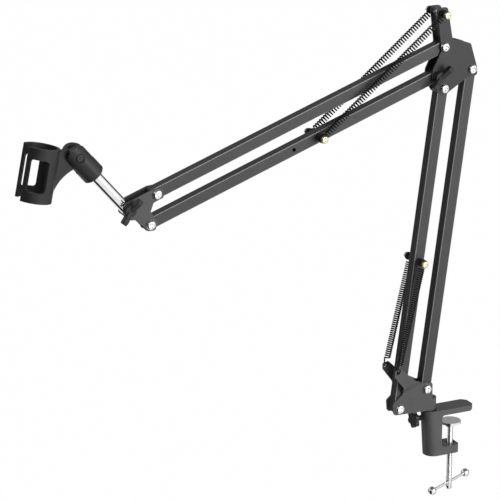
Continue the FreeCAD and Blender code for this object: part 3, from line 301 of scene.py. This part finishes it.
knob_plastic = moulded("knob_plastic", dark=(0.020, 0.020, 0.022, 1), pale=(0.028, 0.028, 0.030, 1),
                       grain=1500, rough=0.46)
black_oxide = plated("black_oxide", bright=(0.060, 0.060, 0.062, 1), dull=(0.040, 0.040, 0.042, 1),
                     rough=0.34, drawn=(1, 1, 0.2))
lock_start = Matrix.Translation((lock_low.x, lock_axis.y, lock_axis.z))
lock_place = lock_start @ Matrix.Rotation(math.pi / 2, 4, "Y")
lock_stations = ((0, lock_radius), (lock_plain, lock_radius), (lock_length, lock_radius - lock_point))
lock_thread = threaded_rod("lock_thread", lock_stations, lock_radius, lock_pitch, lock_thread_depth,
                           lock_plain + lock_run_in, lock_length - lock_run_out, lock_place, black_oxide)
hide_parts("lock_screw")
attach(lock_thread, "lock")
finish_nodes(knob_plastic, "lock_knob")

# Swivel: a stepped pin, turned from steel and black-oxided, that drops into the column and carries
# the base. A plain washer in the same finish lies on the column, and the base turns on it.
finish_nodes(black_oxide, "base_pin", "swivel_washer")

# Base bracket: one piece of sheet steel bent round the pin, folded out to two spring tabs, painted black.
# Bright cross-head bolts with hexagon nuts carry the two lower bars.
plate_coat = coated("plate_coat", dark=(0.072, 0.072, 0.074, 1), pale=(0.084, 0.084, 0.086, 1),
                    wear_and_highlight_colour=(0.180, 0.180, 0.184, 1), wear_and_highlight_mask=edge_wear_and_highlight, peel=760, rough=0.42)
zinc_plate = plated("zinc_plate", bright=(0.60, 0.60, 0.61, 1), dull=(0.48, 0.48, 0.50, 1), rough=0.24,
                    drawn=(1, 1, 0.2))
finish_nodes(plate_coat, "base_bracket")
finish_nodes(bright_plate, "base_bolts")
finish_nodes(zinc_plate, "base_nuts")

# Lower bars: square steel tube in satin black powder coat, with a pale painted highlight along the rounded
# corners. Both are drilled across for their pivot bolts, and the left one also for the bolt that the lower
# springs pull on.
corner_from_edge = (0.05, 0.2)
corner_from_front = (0.998, 0.98)


def corner_highlight(tree):
    # The rounded corners run along the bar, and face neither along the arm's plane nor square across it; a
    # pale painted highlight is laid on them.
    facing = node_in(tree, "ShaderNodeTexCoord", {})["Normal"]
    across = node_in(tree, "ShaderNodeSeparateXYZ", {"Vector": facing})["Y"]
    size = node_in(tree, "ShaderNodeMath", {0: across}, operation="ABSOLUTE")["Value"]
    off_edge = ramped(tree, size, *corner_from_edge)
    off_front = ramped(tree, size, *corner_from_front)
    return node_in(tree, "ShaderNodeMath", {0: off_edge, 1: off_front}, operation="MULTIPLY")["Value"]


# The bright corner colour is a painted highlight where the rounded corners catch the light, not rubbed coat.
bar_coat = coated("bar_coat", dark=(0.044, 0.044, 0.046, 1), pale=(0.052, 0.052, 0.054, 1),
                  wear_and_highlight_colour=(0.340, 0.340, 0.344, 1), wear_and_highlight_mask=corner_highlight, peel=820, rough=0.40)
finish_nodes(bar_coat, "lower_right_bar", "lower_left_bar")

# Elbow: two flat steel plates in black paint that keep both pairs of bars parallel. Both run up into a tab
# for the upper springs, spaced by a plated sleeve. Bright cross-head bolts with hexagon nuts are the pivots.
# The elbow plates carry the same black paint as the base and head, painted much darker here as painted
# shade, because the lamp falls more strongly on them.
elbow_coat = coated("elbow_coat", dark=(0.017, 0.017, 0.019, 1), pale=(0.023, 0.023, 0.025, 1),
                    wear_and_highlight_colour=(0.100, 0.100, 0.104, 1), wear_and_highlight_mask=edge_wear_and_highlight, peel=760, rough=0.42)
finish_nodes(elbow_coat, "elbow_front_plate", "elbow_rear_plate")
finish_nodes(bright_plate, "elbow_bolts")
finish_nodes(zinc_plate, "elbow_nuts", "elbow_spacer")

# Upper bars: the same square tube in the same coat, the top one drilled through its upper face for a
# cable tie. The bottom one carries the bolt that the upper springs pull on, and has a spare hole for it.
finish_nodes(bar_coat, "upper_top_bar", "upper_bottom_bar")

# Head: two smaller plates in black paint that hold the bars' far ends and, between them, the swivel tube.
# The bars turn on bright cross-head bolts with hexagon nuts.
finish_nodes(plate_coat, "head_front_plate", "head_rear_plate")
finish_nodes(bright_plate, "head_bolts")
finish_nodes(zinc_plate, "head_nuts")

# Spring bolts: yellow-passivated cross-head screws with nuts, one through each bar that the springs pull on
# and one through the elbow's tab. Each carries a pair of black nylon spools that the springs' loops ride on.
yellow_zinc = plated("yellow_zinc", bright=(0.86, 0.78, 0.52, 1), dull=(0.74, 0.70, 0.56, 1), rough=0.16,
                     drawn=(1, 1, 1))
for anchor in ("lower_spring", "upper_spring", "elbow_spring"):
    finish_nodes(yellow_zinc, anchor + "_bolt")
    finish_nodes(zinc_plate, anchor + "_nut")
    finish_nodes(knob_plastic, anchor + "_spools")

# Balance springs: wound from dark oiled steel wire and drawn open by the arm, one each side of it at both
# levels, with a loop at each end. The lower pair hook into the base's tabs, and the upper pair ride on
# the spools above the elbow.
wire_width = 0.0016
coil_radius = 0.0029
loop_radius = 0.0040
loop_reach = 0.0056
lower_turns = 47
upper_turns = 58
spring_line = 0.0135
base_hook = Vector((-0.0757, 0, 0.0594))
coil_steps = 18
loop_steps = 12
bend_steps = 8
wire_sides = 8
pivots = {joint["child"]: Vector(joint["pos_m"]) for joint in frame["joints"] if joint["type"] == "hinge"}


def oiled_wire():
    finish, tree, shader = new_finish("oiled_wire")
    oil = mottled(tree, scale=220, detail=3)
    colour = tint(tree, oil, (0.010, 0.010, 0.011, 1), (0.016, 0.016, 0.017, 1))
    tree.links.new(colour, shader.inputs["Base Color"])
    shader.inputs["Specular IOR Level"].default_value = 0.15
    gloss = mottled(tree, scale=500, detail=2, low=0.26, high=0.38)
    tree.links.new(gloss, shader.inputs["Roughness"])
    skin(tree, shader, cloud(tree, scale=1800, detail=2), strength=0.08, depth=0.0001)
    return finish


def spool_centre(name):
    low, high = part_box(name)
    middle = (low + high) / 2
    return Vector((middle.x, 0, middle.z))


def half_loop(centre, side, outward):
    line = []
    for step in range(loop_steps + 1):
        angle = math.pi * step / loop_steps
        line.append(centre + side * (loop_radius * math.cos(angle))
                    + outward * (loop_radius * math.sin(angle)))
    return line


def eased(start, start_way, end, end_way):
    # A smooth bend that leaves its start and meets its end along the ways given, without those two points.
    pull = (end - start).length
    line = []
    for step in range(1, bend_steps):
        t = step / bend_steps
        line.append(start * (2 * t ** 3 - 3 * t ** 2 + 1) + start_way * (pull * (t ** 3 - 2 * t ** 2 + t))
                    + end * (3 * t ** 2 - 2 * t ** 3) + end_way * (pull * (t ** 3 - t ** 2)))
    return line


def wire_path(start, end, turns, hooked, coil_from, coil_to):
    # A hooked start passes through a tab, so its loop stands across the arm's plane, not in it.
    along = (end - start).normalized()
    away = Vector((0, 1, 0))
    across = away.cross(along)
    side = away if hooked else across
    first = math.pi if hooked else math.pi / 2
    last = math.tau * turns - math.pi / 2
    climb = (coil_to - coil_from) / (last - first)

    def coil_point(angle):
        return (start + along * (coil_from + climb * (angle - first))
                + across * (coil_radius * math.cos(angle)) + away * (coil_radius * math.sin(angle)))

    def coil_way(angle):
        return (across * (-coil_radius * math.sin(angle)) + away * (coil_radius * math.cos(angle))
                + along * climb).normalized()

    near_loop = half_loop(start + along * (coil_from - loop_reach), -side, -along)
    path = [near_loop[0] + along * wire_width] + near_loop
    path += eased(path[-1], along, coil_point(first), coil_way(first))
    steps = round((last - first) / math.tau * coil_steps)
    for step in range(steps + 1):
        path.append(coil_point(first + (last - first) * step / steps))
    far_loop = half_loop(end, across, along)
    path += eased(path[-1], coil_way(last), far_loop[0], along)
    path += far_loop
    path.append(far_loop[-1] - along * wire_width)
    return path


def drawn_wire(name, path, finish):
    points = []
    normal = None
    for index, point in enumerate(path):
        way = (path[min(index + 1, len(path) - 1)] - path[max(index - 1, 0)]).normalized()
        if normal is None:
            normal = way.orthogonal().normalized()
        normal = (normal - way * normal.dot(way)).normalized()
        other = way.cross(normal)
        for step in range(wire_sides):
            angle = math.tau * step / wire_sides
            points.append(point + (normal * math.cos(angle) + other * math.sin(angle)) * (wire_width / 2))
    return piece_from(name, points, rings_between(len(path), wire_sides), finish)


def pull_straight(spring, still, moving, start, end, coil_from, coil_to):
    # At every pose the spring lies straight between its two ends: its coils stretch, its loops stay round.
    along = (end - start).normalized()
    away = Vector((0, 1, 0))
    axes = Matrix((along, away, along.cross(away))).transposed()
    root = put(spring.name + "_root", None)
    root.matrix_world = Matrix.Translation(start) @ axes.to_4x4()
    tip = put(spring.name + "_tip", None)
    tip.matrix_world = Matrix.Translation(end)
    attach(root, still)
    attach(tip, moving)
    places = []
    for vertex in spring.data.vertices:
        places.extend(axes.transposed() @ (vertex.co - start))
    spring.data.attributes.new("spring_place", "FLOAT_VECTOR", "POINT").data.foreach_set("vector", places)
    tree = bpy.data.node_groups.new(spring.name + "_pull", "GeometryNodeTree")
    for way in ("INPUT", "OUTPUT"):
        tree.interface.new_socket("Mesh", in_out=way, socket_type="NodeSocketGeometry")
    near = node_in(tree, "GeometryNodeObjectInfo", {"Object": root}, transform_space="RELATIVE")
    far = node_in(tree, "GeometryNodeObjectInfo", {"Object": tip}, transform_space="RELATIVE")
    ends = {0: far["Location"], 1: near["Location"]}
    run = node_in(tree, "ShaderNodeVectorMath", ends, operation="SUBTRACT")["Vector"]
    span = node_in(tree, "ShaderNodeVectorMath", {0: run}, operation="LENGTH")["Value"]
    lengths = {0: span, 1: (end - start).length}
    stretch = node_in(tree, "ShaderNodeMath", lengths, operation="SUBTRACT")["Value"]
    kept = {"Name": "spring_place"}
    place = node_in(tree, "GeometryNodeInputNamedAttribute", kept, data_type="FLOAT_VECTOR")[0]
    parts = node_in(tree, "ShaderNodeSeparateXYZ", {"Vector": place})
    share = ramped(tree, parts["X"], coil_from, coil_to)
    lengthen = {0: share, 1: stretch, 2: parts["X"]}
    reach = node_in(tree, "ShaderNodeMath", lengthen, operation="MULTIPLY_ADD")["Value"]
    pulled = node_in(tree, "ShaderNodeCombineXYZ", {"X": reach, "Y": parts["Y"], "Z": parts["Z"]})["Vector"]
    aim = {"Rotation": near["Rotation"], "Vector": run}
    turn = node_in(tree, "FunctionNodeAlignRotationToVector", aim, axis="X")["Rotation"]
    turned = node_in(tree, "FunctionNodeRotateVector", {"Vector": pulled, "Rotation": turn})["Vector"]
    from_root = {0: turned, 1: near["Location"]}
    spot = node_in(tree, "ShaderNodeVectorMath", from_root, operation="ADD")["Vector"]
    entry = node_in(tree, "NodeGroupInput", {})[0]
    mesh = node_in(tree, "GeometryNodeSetPosition", {"Geometry": entry, "Position": spot})["Geometry"]
    node_in(tree, "NodeGroupOutput", {0: mesh})
    spring.modifiers.new("pull", "NODES").node_group = tree


def balance_spring(name, node, start, end, turns, hooked, still, moving):
    run = end - start
    coil_from = loop_radius + loop_reach if hooked else loop_reach
    coil_to = run.length - loop_reach
    spring = drawn_wire(name, wire_path(start, end, turns, hooked, coil_from, coil_to), spring_wire)
    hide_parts(node)
    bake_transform(spring)
    # Each vertex's share along the spring and its arm from the moving pivot are worked out here, and then
    # not used.
    far = end - pivots[moving]
    far.y = 0
    for vertex in spring.data.vertices:
        share = min(1, max(0, (vertex.co - start).dot(run) / run.length_squared))
        arm = start + run * share - pivots[moving]
        arm.y = 0
    pull_straight(spring, still, moving, start, end, coil_from, coil_to)


spring_wire = oiled_wire()
lower_spool = spool_centre("lower_spring_spools")
upper_spool = spool_centre("upper_spring_spools")
elbow_spool = spool_centre("elbow_spring_spools")
for side, depth in (("front", -spring_line), ("rear", spring_line)):
    offset = Vector((0, depth, 0))
    balance_spring("lower_coil_" + side, "lower_spring_" + side, base_hook + offset, lower_spool + offset,
                   lower_turns, True, "base", "lower_left")
    balance_spring("upper_coil_" + side, "upper_spring_" + side, elbow_spool + offset, upper_spool + offset,
                   upper_turns, False, "elbow", "upper_bottom")

# Wing knobs at the elbow and the head: black glass-filled nylon moulded on a steel bolt, over a plain
# washer. Each bolt runs through both plates to a nut, and tightens them on what turns between.
for knob in ("elbow_knob", "head_knob"):
    finish_nodes(knob_plastic, knob)
    finish_nodes(zinc_plate, knob + "_stud", knob + "_washer", knob + "_nut")

# Swivel tube: bright plated steel, its rounded foot drilled for the head's knob bolt. A brass sleeve with a
# thread, at its far end, screws into the brass insert of the clip's barrel.
thread_brass = plated("thread_brass", bright=(0.72, 0.55, 0.27, 1), dull=(0.60, 0.45, 0.22, 1), rough=0.2,
                      drawn=(1, 1, 1))
finish_nodes(bright_plate, "swivel_tube")
finish_nodes(thread_brass, "thread_adapter", "thread_insert")

# Microphone clip and its barrel: satin black moulded plastic with a finer grain than the knobs,
# held by one black-capped screw so that the clip can tilt in the barrel's fork.
clip_plastic = moulded("clip_plastic", dark=(0.022, 0.022, 0.024, 1), pale=(0.029, 0.029, 0.031, 1),
                       grain=2200, rough=0.42)
finish_nodes(clip_plastic, "clip_barrel", "clip_body", "clip_screw")
finish_nodes(zinc_plate, "clip_nut")

# Studio: a plain white floor below the part and white all round it, dimmer overhead. Six dark flags that
# only reflections show draw the edges of bright metal, and one broad soft lamp stands at the right front.
floor_radius = 6
floor_gap = 0.0005
floor_white = 0.992
fill_level = 0.28
dimmer_from = 0.45
dimmest_from = 0.75
overhead_level = 0.22
flags = (
    # the way to a flag, the cosines at which its edge begins and it is darkest, and its level there
    ((-0.50, 0.85, -0.15), 0.84, 0.94, 0.12),
    ((0.93, 0.36, 0), 0.88, 0.95, 0.05),
    ((-0.91, -0.34, -0.26), 0.70, 0.83, 0.03),
    ((0.40, 0.83, 0.39), 0.80, 0.95, 0.34),
    ((-0.45, -0.05, -0.89), 0.88, 0.95, 0.02),
    ((0.67, 0.33, -0.66), 0.90, 0.96, 0.05),
)
lamp_place = Vector((0.9, -2.4, 0.9))
lamp_aim = Vector((-0.245, 0, 0.2174))
camera_place = Vector((-1.1991, -1.9938, 0.9021))
camera_way = Vector((0.4123, 0.8616, -0.2959))


def chosen(tree, switch, off, on):
    return node_in(tree, "ShaderNodeMix", {0: switch, 2: off, 3: on})[0]


def reflected_room(tree):
    way = node_in(tree, "ShaderNodeTexCoord", {})["Generated"]
    rise = node_in(tree, "ShaderNodeSeparateXYZ", {"Vector": way})["Z"]
    light = ramped(tree, rise, dimmer_from, dimmest_from, 1, overhead_level)
    for flag, edge, core, dark in flags:
        toward = node_in(tree, "ShaderNodeVectorMath", {0: way, 1: flag}, operation="DOT_PRODUCT")["Value"]
        shade = ramped(tree, toward, edge, core, 1, dark)
        light = node_in(tree, "ShaderNodeMath", {0: light, 1: shade}, operation="MULTIPLY")["Value"]
    return light


# The camera sees the floor white with a faint shadow, and reflections look through it into the white room.
white_floor, tree, shader = new_finish("white_floor")
paint = tint(tree, cloud(tree, scale=3, detail=2), (0.60, 0.60, 0.60, 1), (0.62, 0.62, 0.62, 1))
tree.links.new(paint, shader.inputs["Base Color"])
shader.inputs["Roughness"].default_value = 0.9
seen = node_in(tree, "ShaderNodeLightPath", {})
glow = node_in(tree, "ShaderNodeEmission", {})["Emission"]
white = chosen(tree, seen["Is Camera Ray"], 0, floor_white)
shown = node_in(tree, "ShaderNodeMixShader", {0: white, 1: shader.outputs["BSDF"], 2: glow})["Shader"]
clear = node_in(tree, "ShaderNodeBsdfTransparent", {})["BSDF"]
surface = node_in(tree, "ShaderNodeMixShader", {0: seen["Is Glossy Ray"], 1: shown, 2: clear})["Shader"]
tree.links.new(surface, tree.nodes["Material Output"].inputs["Surface"])
floor_shape = bmesh.new()
bmesh.ops.create_circle(floor_shape, cap_ends=True, segments=64, radius=floor_radius)
floor = put("floor", mesh_of("floor", floor_shape))
floor.data.materials.append(white_floor)
# The floor lies just below the clamp screw when that is wound right down.
screw_drop = next(joint["range_m"][0] for joint in frame["joints"] if joint["name"] == "screw_feed")
floor.location = (0, 0, cad_box[0][2] + screw_drop - floor_gap)

world = bpy.data.worlds.new("white_room")
bpy.context.scene.world = world
world.use_nodes = True
tree = world.node_tree
seen = node_in(tree, "ShaderNodeLightPath", {})
fill = chosen(tree, seen["Is Glossy Ray"], fill_level, reflected_room(tree))
backdrop = tree.nodes["Background"]
backdrop.inputs["Color"].default_value = (1, 1, 1, 1)
tree.links.new(chosen(tree, seen["Is Camera Ray"], fill, 1), backdrop.inputs["Strength"])

lamp = bpy.data.lights.new("key_lamp", "AREA")
lamp.shape = "SQUARE"
lamp.size = 1.4
lamp.energy = 51
key_lamp = put("key_lamp", lamp)
key_lamp.location = lamp_place
key_lamp.rotation_euler = (lamp_aim - lamp_place).to_track_quat("-Z", "Y").to_euler()

lens = bpy.data.cameras.new("camera")
lens.sensor_width = 36
lens.lens = 162.1
lens.clip_end = 50
camera = put("camera", lens)
camera.location = camera_place
camera.rotation_euler = camera_way.to_track_quat("-Z", "Y").to_euler()
bpy.context.scene.camera = camera
bpy.context.scene.view_settings.view_transform = "Standard"
